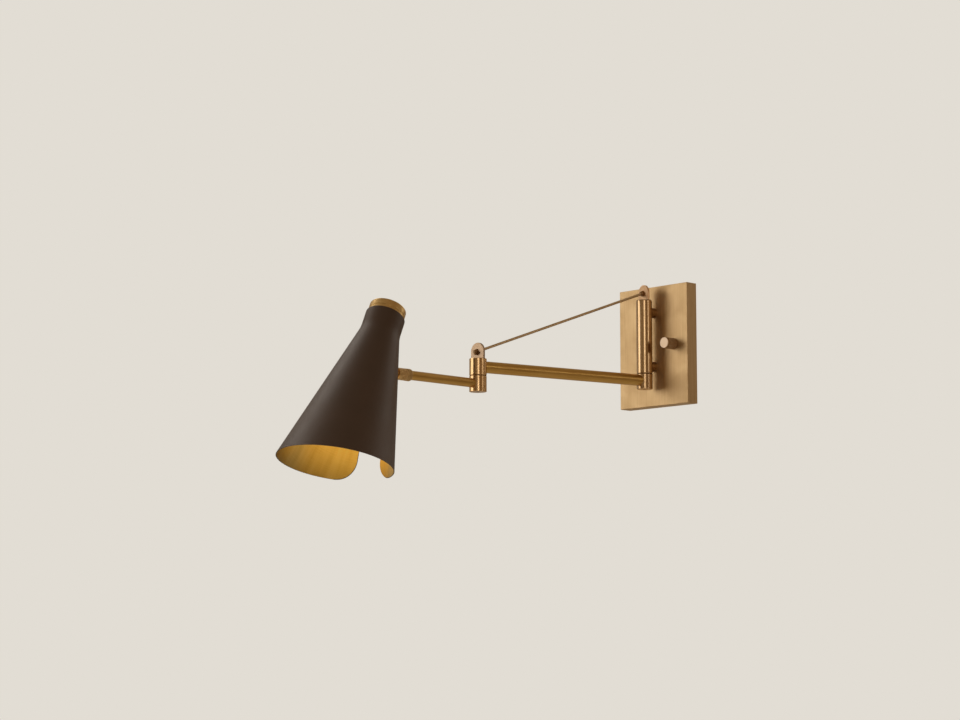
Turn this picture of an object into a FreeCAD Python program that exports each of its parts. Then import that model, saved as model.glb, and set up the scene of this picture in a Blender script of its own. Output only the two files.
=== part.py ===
import FreeCAD, Part
import os
import math

V = FreeCAD.Vector

# ---------------------------------------------------------------------------
# Swing-arm wall lamp with a stay rod and a notched cone shade.
# Millimetres. Origin: centre of the backplate's back face, on the wall.
# +X to the right when facing the wall, -Y out into the room, +Z up.
# ---------------------------------------------------------------------------

# backplate: a pan, open at the back
plate_w = 114.3
plate_h = 152.4
plate_d = 17.5
plate_t = 2.0
plate_edge = 0.7

# rear hinge
hinge_off = 17.0            # axis to the plate's face
barrel_r = 10.0
barrel_top = 56.5
barrel_bot = -36.0
barrel_bore = 7.0
shaft_r = 6.0
shaft_bore = 4.0
run_gap = 0.05              # radial running clearance of the turning shafts
bush_flange = 0.6
washer_t = 0.5
knuckle_bot = -56.0

# spacers between plate and barrel
standoff_r = 6.35
standoff_up_z = 42.7
standoff_lo_z = -26.1

# knob and rotary dimmer
knob_x = 33.8
knob_z = 0.0
knob_r = 7.1
knob_len = 17.5
dimmer_shaft_r = 3.0

# main arm
arm_az = -11.2              # direction from -Y towards +X, as it stands
arm_len = 250.0             # axis to axis
arm_z = -45.0
arm_r = 7.15
arm_ri = 6.0

# stay rod and its two tabs
stay_r = 1.6
tab_w = 20.0
tab_t = 3.0
rear_tab_z = 66.6           # centre of the round top, where the rod passes
front_tab_z = -26.4
front_tab_az = 2.0          # its face looks this way; the rear one looks along the arm

# front knuckle
fk_r = 10.5
fk_top = -35.4
fk_up_bot = -55.6
fk_bot = -75.6
fk_bore = 7.5
fshaft_r = 5.0

# second arm
fore_az = 1.0
fore_z = -65.5
fore_r = 5.55
fore_ri = 4.6
fore_end = 115.0
ring_r = 7.3
ring_a = 114.0
ring_b = 120.4
collar_r = 7.15
collar_a = 120.6
collar_b = 135.0
stem_r = 4.75
spindle_r = 3.0
tilt_at = 151.5             # tilt pin, from the front knuckle's axis
head_at = 179.0             # shade axis, from the front knuckle's axis

# shade, in its own frame: origin on the shade's axis where the arm's line
# meets it, z up the shade's axis to the cap, x towards the arm
shade_tilt = 28.4
shade_tilt_az = 14.1        # top leans this far off the arm's line
sh_r0 = 35.7                # outer radius at z = 0
sh_half = 13.31             # half angle of the cone
sh_t = 1.0
neck_r = 23.5
neck_top = 75.5
neck_bend_R = 50.0
cut_at = 129.6              # lower edge's plane crosses the axis here
cut_tilt = 15.21            # and is this oblique
notch_az = 17.5             # notch and cut face this way, from x towards y
notch_half = 15.5
notch_top = 20.0            # centre of its round top
notch_flare_R = 27.5
notch_flare_z = -88.8
notch_flare_end = 76.0      # arcs end here, running into the oblique edge
cap_r = 21.9
cap_h = 11.8

# lampholder and bulb
cup_r = 14.5
cup_t = 1.0
cup_lo = 2.0
cup_hi = 56.0
eye_r = 6.0
eye_t = 5.0
pin_r = 2.0
globe_r = 22.5
globe_z = -17.5

os.makedirs("parts", exist_ok=True)
NODES = []


def out(name, shape):
    if shape.isNull() or not shape.isValid():
        print("BAD SHAPE", name)
    n = len(shape.Solids)
    shape.exportStep("parts/%s.step" % name)
    NODES.append(name)
    print("%-22s solids %d volume %.1f" % (name, n, shape.Volume))


def cyl(p, d, r, h):
    return Part.makeCylinder(r, h, V(*p), V(*d))


def tube(p, d, ro, ri, h):
    o = Part.makeCylinder(ro, h, V(*p), V(*d))
    dd = V(*d)
    dd.normalize()
    q = V(*p) - dd * 1.0
    return o.cut(Part.makeCylinder(ri, h + 2.0, q, dd))


def box(x0, y0, z0, x1, y1, z1):
    return Part.makeBox(x1 - x0, y1 - y0, z1 - z0, V(x0, y0, z0))


def hexagon(p, d, af, h, spin=0.0):
    """Hexagonal prism, across-flats af, from p along d."""
    R = af / math.sqrt(3.0)
    pts = [V(R * math.cos(math.radians(60 * k + spin)),
             R * math.sin(math.radians(60 * k + spin)), 0) for k in range(7)]
    f = Part.Face(Part.makePolygon(pts))
    s = f.extrude(V(0, 0, h))
    s.Placement = FreeCAD.Placement(V(*p), FreeCAD.Rotation(V(0, 0, 1), V(*d)))
    return s


def revolve(pts):
    """Closed (r, z) outline turned about the z axis."""
    w = Part.makePolygon([V(r, 0, z) for r, z in pts] + [V(pts[0][0], 0, pts[0][1])])
    return Part.Face(w).revolve(V(0, 0, 0), V(0, 0, 1), 360)


def frame_place(shape, origin, ex, ey, ez):
    m = FreeCAD.Matrix(ex.x, ey.x, ez.x, origin.x,
                       ex.y, ey.y, ez.y, origin.y,
                       ex.z, ey.z, ez.z, origin.z,
                       0, 0, 0, 1)
    s = shape.copy()
    s.Placement = FreeCAD.Placement(m).multiply(s.Placement)
    return s


def along(az):
    a = math.radians(az)
    return V(math.sin(a), -math.cos(a), 0)


# ---------------------------------------------------------------------------
# axes
# ---------------------------------------------------------------------------
face_y = -plate_d
inner_y = face_y + plate_t
ax_y = face_y - hinge_off
REAR = V(0, ax_y, 0)
u1 = along(arm_az)
FRONT = REAR + u1 * arm_len
u2 = along(fore_az)
utab = along(front_tab_az)


def rp(z):
    return V(REAR.x, REAR.y, z)


def fp(z):
    return V(FRONT.x, FRONT.y, z)


def arm_pt(d, z=None):
    p = REAR + u1 * d
    return V(p.x, p.y, arm_z if z is None else z)


def fore_pt(d):
    p = FRONT + u2 * d
    return V(p.x, p.y, fore_z)


# ---------------------------------------------------------------------------
# wall bracket
# ---------------------------------------------------------------------------
pan = box(-plate_w / 2, face_y, -plate_h / 2, plate_w / 2, 0, plate_h / 2)
soft = []
for e in pan.Edges:
    b = e.BoundBox
    if b.YMax < -0.01 or (abs(b.YMax) < 0.01 and b.YMin < face_y + 0.01):
        soft.append(e)
pan = pan.makeFillet(plate_edge, soft)
pan = pan.cut(box(-plate_w / 2 + plate_t, inner_y, -plate_h / 2 + plate_t,
                  plate_w / 2 - plate_t, 1, plate_h / 2 - plate_t))
pan = pan.cut(cyl((0, face_y - 1, standoff_up_z), (0, 1, 0), 4.1, 8))
pan = pan.cut(cyl((0, face_y - 1, standoff_lo_z), (0, 1, 0), 2.6, 8))
pan = pan.cut(cyl((knob_x, face_y - 1, knob_z), (0, 1, 0), 4.85, 8))
grub_y = -5.0
for s in (1, -1):
    pan = pan.cut(cyl((0, grub_y, s * (plate_h / 2 - plate_t - 1)), (0, 0, s), 2.1, 6))
out("backplate", pan)

# strap screwed to the wall box; its bent ends take the grub screws
strap_z = plate_h / 2 - plate_t - 1.2
strap = box(-11, -2, -strap_z, 11, 0, strap_z)
for s in (1, -1):
    z0, z1 = (strap_z - 2, strap_z) if s > 0 else (-strap_z, -strap_z + 2)
    strap = strap.fuse(box(-11, -9, z0, 11, -1, z1))
strap = strap.removeSplitter()
strap = strap.cut(cyl((0, -3, 0), (0, 1, 0), 6.0, 5))
slot_c, slot_l, slot_r = 39.7, 14.0, 2.2
for s in (1, -1):
    a = slot_l / 2 - slot_r
    sl = cyl((0, -3, s * slot_c - a), (0, 1, 0), slot_r, 5)
    sl = sl.fuse(cyl((0, -3, s * slot_c + a), (0, 1, 0), slot_r, 5))
    sl = sl.fuse(box(-slot_r, -3, s * slot_c - a, slot_r, 2, s * slot_c + a))
    strap = strap.cut(sl)
strap = strap.cut(cyl((0, -3, -18), (0, 1, 0), 1.98, 5))
for s in (1, -1):
    strap = strap.cut(cyl((0, grub_y, s * (strap_z - 3)), (0, 0, s), 2.02, 5))
out("mounting_strap", strap)

gs = cyl((0, -4.6, -18), (0, 1, 0), 3.9, 2.6).fuse(cyl((0, -2.2, -18), (0, 1, 0), 1.95, 2.2))
gs = gs.cut(box(-3.0, -5, -18.5, 3.0, -3.6, -17.5))
out("strap_ground_screw", gs)

grubs = []
for s in (1, -1):
    g = cyl((0, grub_y, s * 69.6), (0, 0, s), 1.98, 6.2)
    g = g.cut(hexagon((0, grub_y, s * 74.0), (0, 0, s), 2.0, 2.5))
    grubs.append(g)
out("backplate_screws", Part.makeCompound(grubs))

# rotary dimmer: a small case behind the plate, its threaded neck through it
dm = box(knob_x - 12, inner_y, knob_z - 12, knob_x + 12, inner_y + 11, knob_z + 12)
dm = dm.makeFillet(1.0, [e for e in dm.Edges if e.BoundBox.YLength > 5])
dm = dm.fuse(cyl((knob_x, inner_y + 1, knob_z), (0, -1, 0), 4.75, 6.0 + 0.0))
dm = dm.removeSplitter()
dm = dm.cut(cyl((knob_x, inner_y + 9.2, knob_z), (0, -1, 0), dimmer_shaft_r + run_gap, 20))
for dx in (-7, 0, 7):
    dm = dm.fuse(box(knob_x + dx - 1.2, inner_y + 11, knob_z - 9, knob_x + dx + 1.2, inner_y + 14, knob_z - 8.2))
out("dimmer_body", dm)

nut = cyl((knob_x, face_y, knob_z), (0, -1, 0), 5.95, 1.8)
nut = nut.cut(cyl((knob_x, face_y + 1, knob_z), (0, -1, 0), 4.77, 5))
out("dimmer_nut", nut)

dsh = cyl((knob_x, inner_y + 9.0, knob_z), (0, -1, 0), dimmer_shaft_r, face_y * -1 - 6.5 + 15.6)
dsh_end = dsh.BoundBox.YMin
flat = box(knob_x - 4, dsh_end - 1, knob_z + 1.6, knob_x + 4, dsh_end + 9.5, knob_z + 4)
dsh = dsh.cut(flat)
out("dimmer_shaft", dsh)

kb0 = face_y - 0.5
kb1 = kb0 - knob_len
kn = cyl((knob_x, kb0, knob_z), (0, -1, 0), knob_r, knob_len)
kn = kn.makeChamfer(0.5, [e for e in kn.Edges if abs(e.BoundBox.YLength) < 1e-6])
kn = kn.cut(cyl((knob_x, kb0 + 1, knob_z), (0, -1, 0), 6.3, 3.9))
kn = kn.cut(cyl((knob_x, kb0 + 1, knob_z), (0, -1, 0), 3.02, kb0 + 1 - dsh_end + 0.4))
kn = kn.cut(cyl((knob_x, kb0 - 9.0, knob_z), (0, 0, 1), 1.52, 10))
out("knob", kn)
ks = cyl((knob_x, kb0 - 9.0, knob_z + 1.62), (0, 0, 1), 1.5, 4.9)
ks = ks.cut(hexagon((knob_x, kb0 - 9.0, knob_z + 5.0), (0, 0, 1), 1.3, 2.5))
out("knob_screw", ks)

# spacers, saddled onto the barrel
full_barrel = cyl((0, ax_y, -100), (0, 0, 1), barrel_r, 260)
su = cyl((0, face_y, standoff_up_z), (0, -1, 0), standoff_r, hinge_off).cut(full_barrel)
su = su.cut(cyl((0, face_y + 1, standoff_up_z), (0, -1, 0), 4.05, 30))
out("standoff_upper", su)
sl_ = cyl((0, face_y, standoff_lo_z), (0, -1, 0), standoff_r, hinge_off).cut(full_barrel)
sl_ = sl_.cut(cyl((0, face_y + 1, standoff_lo_z), (0, -1, 0), 2.55, 30))
out("standoff_lower", sl_)

nip = tube((0, -9.0, standoff_up_z), (0, -1, 0), 4.0, 2.8, 18.2)
out("standoff_nipple", nip)
nn = hexagon((0, inner_y, standoff_up_z), (0, 1, 0), 12.0, 3.2)
nn = nn.cut(cyl((0, inner_y - 1, standoff_up_z), (0, 1, 0), 4.02, 6))
out("standoff_nut", nn)
ss = cyl((0, inner_y, standoff_lo_z), (0, 1, 0), 4.4, 2.9)
ss = ss.cut(hexagon((0, inner_y + 1.2, standoff_lo_z), (0, 1, 0), 3.0, 3))
ss = ss.fuse(cyl((0, inner_y + 0.5, standoff_lo_z), (0, -1, 0), 2.5, 11.9))
out("standoff_screw", ss)

hb = cyl((0, ax_y, barrel_bot), (0, 0, 1), barrel_r, barrel_top - barrel_bot)
hb = hb.makeChamfer(0.35, [e for e in hb.Edges if e.BoundBox.ZLength < 1e-6])
hb = hb.cut(cyl((0, ax_y, -60), (0, 0, 1), barrel_bore, 140))
hb = hb.cut(cyl((0, ax_y, standoff_up_z), (0, 1, 0), 4.02, 20))
hb = hb.cut(cyl((0, ax_y, standoff_lo_z), (0, 1, 0), 2.52, 20))
out("hinge_barrel", hb)

ub = tube((0, ax_y, 48.0), (0, 0, 1), barrel_bore - 0.02, shaft_r + run_gap, barrel_top - 48.0)
ub = ub.fuse(tube((0, ax_y, barrel_top), (0, 0, 1), 9.6, shaft_r + run_gap, bush_flange))
out("upper_bush", ub.removeSplitter())
lb = tube((0, ax_y, barrel_bot), (0, 0, 1), barrel_bore - 0.02, shaft_r + run_gap, 6.4)
lb = lb.fuse(tube((0, ax_y, barrel_bot - bush_flange), (0, 0, 1), 9.6, shaft_r + run_gap, bush_flange))
out("lower_bush", lb.removeSplitter())

# ---------------------------------------------------------------------------
# main arm
# ---------------------------------------------------------------------------
wz = barrel_bot - bush_flange - 0.05
out("rear_washer", tube((0, ax_y, wz - washer_t), (0, 0, 1), 9.7, shaft_r + 0.02, washer_t))
kn_top = wz - washer_t
plug_h = 2.4
ak = cyl((0, ax_y, knuckle_bot), (0, 0, 1), barrel_r, kn_top - knuckle_bot)
ak = ak.makeChamfer(0.35, [e for e in ak.Edges if e.BoundBox.ZLength < 1e-6])
ak = ak.cut(cyl((0, ax_y, knuckle_bot - 1), (0, 0, 1), shaft_r, 60))
ak = ak.cut(cyl((0, ax_y, knuckle_bot - 1), (0, 0, 1), 8.0, plug_h + 1))
out("arm_knuckle", ak)

tab0 = barrel_top + bush_flange + 0.05
sh_top = tab0
ps = cyl((0, ax_y, knuckle_bot + plug_h), (0, 0, 1), shaft_r, sh_top - knuckle_bot - plug_h)
ps = ps.cut(cyl((0, ax_y, knuckle_bot + plug_h + 8), (0, 0, 1), shaft_bore, 200))
tongue_h = 7.0
zz = V(0, 0, 1)


def tab_frame(shape, origin, u=None):
    """local x across the tab, local y the way it faces, local z up"""
    u = u or u1
    return frame_place(shape, origin, V(u.y, -u.x, 0), u, zz)


slotb = tab_frame(box(-10, -tab_t / 2, -tongue_h, 10, tab_t / 2, 5), rp(sh_top))
ps = ps.cut(slotb)
ps = ps.cut(tab_frame(cyl((0, -10, -3.5), (0, 1, 0), 1.5, 20), rp(sh_top)))
out("pivot_shaft", ps)

ep = cyl((0, ax_y, knuckle_bot), (0, 0, 1), 7.98, plug_h)
ep = ep.makeChamfer(0.4, [e for e in ep.Edges if e.BoundBox.ZLength < 1e-6 and e.BoundBox.ZMax < knuckle_bot + 0.1])
ep = ep.cut(hexagon((0, ax_y, knuckle_bot - 0.5), (0, 0, 1), 4.0, 2.0))
out("rear_end_plug", ep)

# stay rod geometry
R0 = rp(rear_tab_z)
F0 = fp(front_tab_z)
rod_d = F0 - R0
rod_len = rod_d.Length
rod_d.normalize()


def tab_shape(zc, z0, tongue_w, tongue, hw=tab_w / 2):
    t = box(-hw, -tab_t / 2, z0, hw, tab_t / 2, zc)
    t = t.fuse(cyl((0, -tab_t / 2, zc), (0, 1, 0), hw, tab_t))
    t = t.removeSplitter()
    es = [e for e in t.Edges if abs(e.BoundBox.YLength) < 1e-6 and e.BoundBox.ZMax > z0 + 0.5]
    t = t.makeChamfer(0.3, es)
    if tongue > 0:
        t = t.fuse(box(-tongue_w / 2, -tab_t / 2 + 0.02, z0 - tongue, tongue_w / 2, tab_t / 2 - 0.02, z0 + 0.1))
        t = t.removeSplitter()
    return t


rt = tab_frame(tab_shape(rear_tab_z, tab0, 11.6, tongue_h - 0.1), V(0, ax_y, 0))
rt = rt.cut(Part.makeCylinder(stay_r + 0.15, 40, R0 - rod_d * 20, rod_d))
rt = rt.cut(tab_frame(cyl((0, -10, sh_top - 3.5), (0, 1, 0), 1.5, 20), V(0, ax_y, 0)))
out("rear_tab", rt)
out("rear_tab_pin", tab_frame(cyl((0, -5.6, sh_top - 3.5), (0, 1, 0), 1.48, 11.2), V(0, ax_y, 0)))

rod = Part.makeCylinder(stay_r, rod_len + 7.4 + 6.2, R0 - rod_d * 7.4, rod_d)
rod = rod.makeChamfer(0.4, [e for e in rod.Edges if len(e.Vertexes) == 1 and abs(e.Length - 2 * math.pi * stay_r) < 0.01])
out("stay_rod", rod)

HALF = 60.0


def half_space(origin, sign, u):
    """everything on one side of a tab's face"""
    if sign > 0:
        return tab_frame(box(-HALF, tab_t / 2 - HALF, -HALF, HALF, tab_t / 2, HALF), origin, u)
    return tab_frame(box(-HALF, -tab_t / 2, -HALF, HALF, -tab_t / 2 + HALF, HALF), origin, u)


def stay_nut(origin, sign, u, length, af=6.0):
    """hexagonal nut on the rod, its inner end flush on the tab's sloping face"""
    d = rod_d * sign
    p = origin + d * 0.2
    s = hexagon((p.x, p.y, p.z), (d.x, d.y, d.z), af, length, 0)
    s = s.cut(Part.makeCylinder(stay_r + 0.02, 30, origin - d * 10, d))
    ro = af / math.sqrt(3.0) + 0.05
    cone = Part.makeCone(ro, af / 2, 0.7, origin + d * (length - 0.5), d)
    keep = Part.makeCylinder(ro, length - 0.4, origin - d * 0.1, d).fuse(cone)
    s = s.common(keep)
    return s.cut(half_space(origin, sign, u))


out("stay_nut_rear", Part.makeCompound([stay_nut(R0, -1, u1, 6.0), stay_nut(R0, 1, u1, 4.6)]))
out("stay_nut_front", Part.makeCompound([stay_nut(F0, 1, utab, 5.0)]))

# tube between the two knuckles
full_front = Part.makeCylinder(fk_r, 300, fp(-150), zz)
at = Part.makeCylinder(arm_r, arm_len, arm_pt(0), u1).cut(Part.makeCylinder(arm_ri, arm_len + 2, arm_pt(-1), u1))
at = at.cut(Part.makeCylinder(barrel_r, 260, rp(-150), zz)).cut(full_front)
out("main_arm_tube", at)

fub = Part.makeCylinder(fk_r, fk_top - fk_up_bot, fp(fk_up_bot), zz)
fub = fub.makeChamfer(0.35, [e for e in fub.Edges if e.BoundBox.ZLength < 1e-6])
fub = fub.cut(Part.makeCylinder(fk_bore, 60, fp(fk_up_bot - 10), zz))
out("front_upper_barrel", fub)

fbush = Part.makeCylinder(fk_bore - 0.02, 8.6, fp(fk_up_bot), zz)
fbush = fbush.fuse(Part.makeCylinder(10.1, 0.4, fp(fk_up_bot - 0.4), zz))
fbush = fbush.cut(Part.makeCylinder(fshaft_r + run_gap, 40, fp(fk_up_bot - 10), zz)).removeSplitter()
out("front_bush", fbush)

plug = Part.makeCylinder(fk_bore - 0.02, 4.0, fp(fk_top - 4.0), zz)
plug = plug.cut(tab_frame(box(-10, -tab_t / 2, -3.4, 10, tab_t / 2, 5), fp(fk_top), utab))
out("front_barrel_plug", plug)

ft = tab_frame(tab_shape(front_tab_z, fk_top, 11.6, 3.3, fk_r), V(FRONT.x, FRONT.y, 0), utab)
ft = ft.cut(Part.makeCylinder(stay_r + 0.15, 40, F0 - rod_d * 20, rod_d))
out("front_tab", ft)

# ---------------------------------------------------------------------------
# second arm
# ---------------------------------------------------------------------------
fw = fk_up_bot - 0.4 - 0.05
wsh = Part.makeCylinder(10.2, washer_t, fp(fw - washer_t), zz).cut(Part.makeCylinder(fshaft_r + 0.02, 20, fp(fw - 10), zz))
out("front_washer", wsh)
fl_top = fw - washer_t
flb = Part.makeCylinder(fk_r, fl_top - fk_bot, fp(fk_bot), zz)
flb = flb.makeChamfer(0.35, [e for e in flb.Edges if e.BoundBox.ZLength < 1e-6])
flb = flb.cut(Part.makeCylinder(fshaft_r, 60, fp(fk_bot - 1), zz))
flb = flb.cut(Part.makeCylinder(8.2, plug_h + 1, fp(fk_bot - 1), zz))
out("front_lower_barrel", flb)

fs_top = fk_up_bot + 8.6 + 0.15
fs = Part.makeCylinder(fshaft_r, fs_top - fk_bot - plug_h, fp(fk_bot + plug_h), zz)
fs = fs.cut(Part.makeCylinder(2.0, 12, fp(fs_top - 10), zz))
out("front_shaft", fs)
fsc = Part.makeCylinder(7.0, 0.8, fp(fs_top), zz).fuse(Part.makeCylinder(3.8, 3.2, fp(fs_top), zz))
fsc = fsc.fuse(Part.makeCylinder(1.98, 10, fp(fs_top - 9), zz)).removeSplitter()
hx = fp(fs_top + 1.6)
fsc = fsc.cut(hexagon((hx.x, hx.y, hx.z), (0, 0, 1), 3.0, 3))
out("front_shaft_screw", fsc)
fep = Part.makeCylinder(8.18, plug_h, fp(fk_bot), zz)
fep = fep.makeChamfer(0.4, [e for e in fep.Edges if e.BoundBox.ZLength < 1e-6 and e.BoundBox.ZMax < fk_bot + 0.1])
hx = fp(fk_bot - 0.5)
fep = fep.cut(hexagon((hx.x, hx.y, hx.z), (0, 0, 1), 4.0, 2.0))
out("front_end_plug", fep)

fa = Part.makeCylinder(fore_r, fore_end, fore_pt(0), u2).cut(Part.makeCylinder(fore_ri, fore_end + 2, fore_pt(-1), u2))
fa = fa.cut(full_front)
out("forearm_tube", fa)

ring = Part.makeCylinder(ring_r, ring_b - ring_a, fore_pt(ring_a), u2)
ring = ring.makeChamfer(0.5, [e for e in ring.Edges if len(e.Vertexes) == 1 and abs(e.Length - 2 * math.pi * ring_r) < 0.01])
ring = ring.cut(Part.makeCylinder(fore_r + 0.01, fore_end - ring_a + 1, fore_pt(ring_a - 1), u2))
ring = ring.cut(Part.makeCylinder(4.0, 20, fore_pt(ring_a), u2))
out("swivel_ring", ring)

sb = Part.makeCylinder(fore_ri - 0.02, 14, fore_pt(101), u2).cut(Part.makeCylinder(spindle_r + run_gap, 30, fore_pt(95), u2))
out("swivel_bush", sb)

# ---------------------------------------------------------------------------
# swivel
# ---------------------------------------------------------------------------
sp = Part.makeCylinder(spindle_r, 127 - 99.0, fore_pt(99.0), u2)
sp = sp.fuse(Part.makeCylinder(4.2, 1.8, fore_pt(99.0), u2))
out("swivel_spindle", sp.removeSplitter())

col = Part.makeCylinder(collar_r, collar_b - collar_a, fore_pt(collar_a), u2)
col = col.makeChamfer(0.6, [e for e in col.Edges if len(e.Vertexes) == 1 and abs(e.Length - 2 * math.pi * collar_r) < 0.01])
col = col.cut(Part.makeCylinder(spindle_r + 0.01, 20, fore_pt(collar_a - 13.5), u2))
col = col.cut(Part.makeCylinder(spindle_r + 0.01, 127.1 - collar_a + 1, fore_pt(collar_a - 1), u2))
col = col.cut(Part.makeCylinder(stem_r + 0.01, 20, fore_pt(collar_b - 7), u2))
out("swivel_collar", col)

# ---------------------------------------------------------------------------
# shade frame
# ---------------------------------------------------------------------------
HEAD = fore_pt(head_at)
ta = math.radians(fore_az + 180.0 + shade_tilt_az)
tt = math.radians(shade_tilt)
hdir = V(math.sin(ta), -math.cos(ta), 0)
EZ = zz * math.cos(tt) + hdir * math.sin(tt)
back = u2 * -1
EX = back - EZ * back.dot(EZ)
EX.normalize()
EY = EZ.cross(EX)
tan_h = math.tan(math.radians(sh_half))
# pin position in the shade's frame
rho = head_at - tilt_at
PX = rho * back.dot(EX)
PZ = rho * back.dot(EZ)
arm_up = math.degrees(math.atan2(PZ, PX))


def head(shape):
    return frame_place(shape, HEAD, EX, EY, EZ)


def ring_rad(z):
    return sh_r0 - z * tan_h


# stem with its eye, in the shade's frame before placing
ey_local = Part.makeCylinder(eye_r, eye_t, V(PX, -eye_t / 2, PZ), V(0, 1, 0))
dloc = V(math.cos(math.radians(arm_up)), 0, math.sin(math.radians(arm_up)))
uloc = V(-dloc.z, 0, dloc.x)
neck0 = box(0, -eye_t / 2, -stem_r, 8.0, eye_t / 2, stem_r)
neck0.Placement = FreeCAD.Placement(FreeCAD.Matrix(dloc.x, 0, uloc.x, PX, 0, 1, 0, 0, dloc.z, 0, uloc.z, PZ, 0, 0, 0, 1))
stem = Part.makeCylinder(stem_r, tilt_at - (collar_b - 7) - (eye_r + 0.5), V(PX, 0, PZ) + dloc * (eye_r + 0.5), dloc)
eye = ey_local.fuse(neck0).fuse(stem).removeSplitter()
eye = eye.cut(Part.makeCylinder(pin_r + run_gap, 20, V(PX, -10, PZ), V(0, 1, 0)))
out("swivel_eye", head(eye))

# yoke on the cup, pin and thumb nut
yoke_out = 5.95
gap = eye_t / 2 + 0.05
cheek = Part.makeCylinder(eye_r, 2 * yoke_out, V(PX, -yoke_out, PZ), V(0, 1, 0))
cheek = cheek.fuse(box(10, -yoke_out, PZ - eye_r, PX, yoke_out, PZ + eye_r))
cheek = cheek.cut(box(PX - eye_r - 0.4, -gap, PZ - 20, PX + 20, gap, PZ + 20))
cheek = cheek.cut(Part.makeCylinder(cup_r, 120, V(0, 0, -40), V(0, 0, 1)))
cheek = cheek.cut(Part.makeCylinder(pin_r + 0.01, 30, V(PX, -15, PZ), V(0, 1, 0)))
out("tilt_yoke", head(cheek.removeSplitter()))
pin = Part.makeCylinder(pin_r, 2 * yoke_out + 3.4, V(PX, -yoke_out - 0.4, PZ), V(0, 1, 0))
pin = pin.fuse(Part.makeCylinder(3.4, 1.6, V(PX, -yoke_out - 1.6, PZ), V(0, 1, 0)))
out("tilt_pin", head(pin.removeSplitter()))
tn = Part.makeCylinder(3.7, 3.4, V(PX, yoke_out, PZ), V(0, 1, 0)).cut(Part.makeCylinder(pin_r + 0.01, 20, V(PX, -5, PZ), V(0, 1, 0)))
out("tilt_nut", head(tn))

# lampholder cup and what hangs it under the cap
cup = revolve([(cup_r, cup_lo), (cup_r, cup_hi), (4.95, cup_hi), (4.95, cup_hi - 1.2), (cup_r - cup_t, cup_hi - 1.2), (cup_r - cup_t, cup_lo)])
out("socket_cup", head(cup))
out("cup_nipple", head(tube((0, 0, 46), (0, 0, 1), 4.85, 3.6, 38)))
flange_t = 1.0
out("cup_spacer", head(tube((0, 0, cup_hi), (0, 0, 1), 8.0, 4.95, neck_top - flange_t - cup_hi)))
ln = hexagon((0, 0, 50.4), (0, 0, 1), 14.0, cup_hi - 1.2 - 50.4)
ln = ln.cut(Part.makeCylinder(4.87, 20, V(0, 0, 44), V(0, 0, 1)))
out("cup_locknut", head(ln))

lh = revolve([(6.7, 15.5), (12.4, 15.5), (12.9, 16.0), (12.9, 50.2), (4.9, 50.2), (4.9, 45.9), (2.0, 45.9), (2.0, 42.6), (6.7, 42.6)])
out("lampholder", head(lh))
out("screw_shell", head(tube((0, 0, 17.0), (0, 0, 1), 6.66, 6.1, 24.5)))
cs = revolve([(0.0, 39.9), (2.6, 39.9), (2.6, 40.4), (0.9, 40.8), (0.9, 45.0), (0.0, 45.0)])
out("contact_spring", head(cs))

# shade: outline turned about its axis, then the oblique cut and the notch
bend_z = (sh_r0 - neck_r) / tan_h
tl = neck_bend_R * math.tan(math.radians(sh_half / 2))


def shade_wall(off, zlo):
    """(r, z) points of the wall, moved inwards by off"""
    ca, sa = math.cos(math.radians(sh_half)), math.sin(math.radians(sh_half))
    rn = neck_r - off
    # cone line shifted inwards, its meeting point with the neck line
    rc = lambda z: sh_r0 - z * tan_h - off / ca
    zb = (sh_r0 - off / ca - rn) / tan_h
    Rb = neck_bend_R + off
    t = Rb * math.tan(math.radians(sh_half / 2))
    p_neck = V(rn, 0, zb + t)
    p_cone = V(rn + t * sa, 0, zb - t * ca)
    # the bend's centre lies outside the neck
    c = V(rn + Rb, 0, zb + t)
    am = math.radians(sh_half / 2)
    p_mid = V(c.x - Rb * math.cos(am), 0, c.z - Rb * math.sin(am))
    return p_neck, p_mid, p_cone, V(rc(zlo), 0, zlo)


zlo = -170.0
on, om, oc, ol = shade_wall(0.0, zlo)
inn, im, ic, il = shade_wall(sh_t, zlo)
top_r = 5.0
edges = [
    Part.LineSegment(V(top_r, 0, neck_top), V(neck_r, 0, neck_top)).toShape(),
    Part.LineSegment(V(neck_r, 0, neck_top), on).toShape(),
    Part.Arc(on, om, oc).toShape(),
    Part.LineSegment(oc, ol).toShape(),
    Part.LineSegment(ol, il).toShape(),
    Part.LineSegment(il, ic).toShape(),
    Part.Arc(ic, im, inn).toShape(),
    Part.LineSegment(inn, V(neck_r - sh_t, 0, neck_top - flange_t)).toShape(),
    Part.LineSegment(V(neck_r - sh_t, 0, neck_top - flange_t), V(top_r, 0, neck_top - flange_t)).toShape(),
    Part.LineSegment(V(top_r, 0, neck_top - flange_t), V(top_r, 0, neck_top)).toShape(),
]
wall = Part.Face(Part.Wire(edges)).revolve(V(0, 0, 0), V(0, 0, 1), 360)
if wall.Volume < 0:
    wall.reverse()
wall = wall.makeFillet(0.8, [e for e in wall.Edges if abs(e.BoundBox.ZMax - neck_top) < 1e-6
                             and abs(e.BoundBox.ZMin - neck_top) < 1e-6 and e.BoundBox.XLength > 2 * neck_r - 0.5])
# oblique lower edge
na = math.radians(notch_az)
nd = V(math.cos(na), math.sin(na), 0)
ct = math.radians(cut_tilt)
cn = V(0, 0, 1) * math.cos(ct) - nd * math.sin(ct)
big = Part.makeBox(400, 400, 200, V(-200, -200, -200))
big.Placement = FreeCAD.Placement(V(0, 0, -cut_at), FreeCAD.Rotation(V(0, 0, 1), cn))
wall = wall.cut(big)
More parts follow.
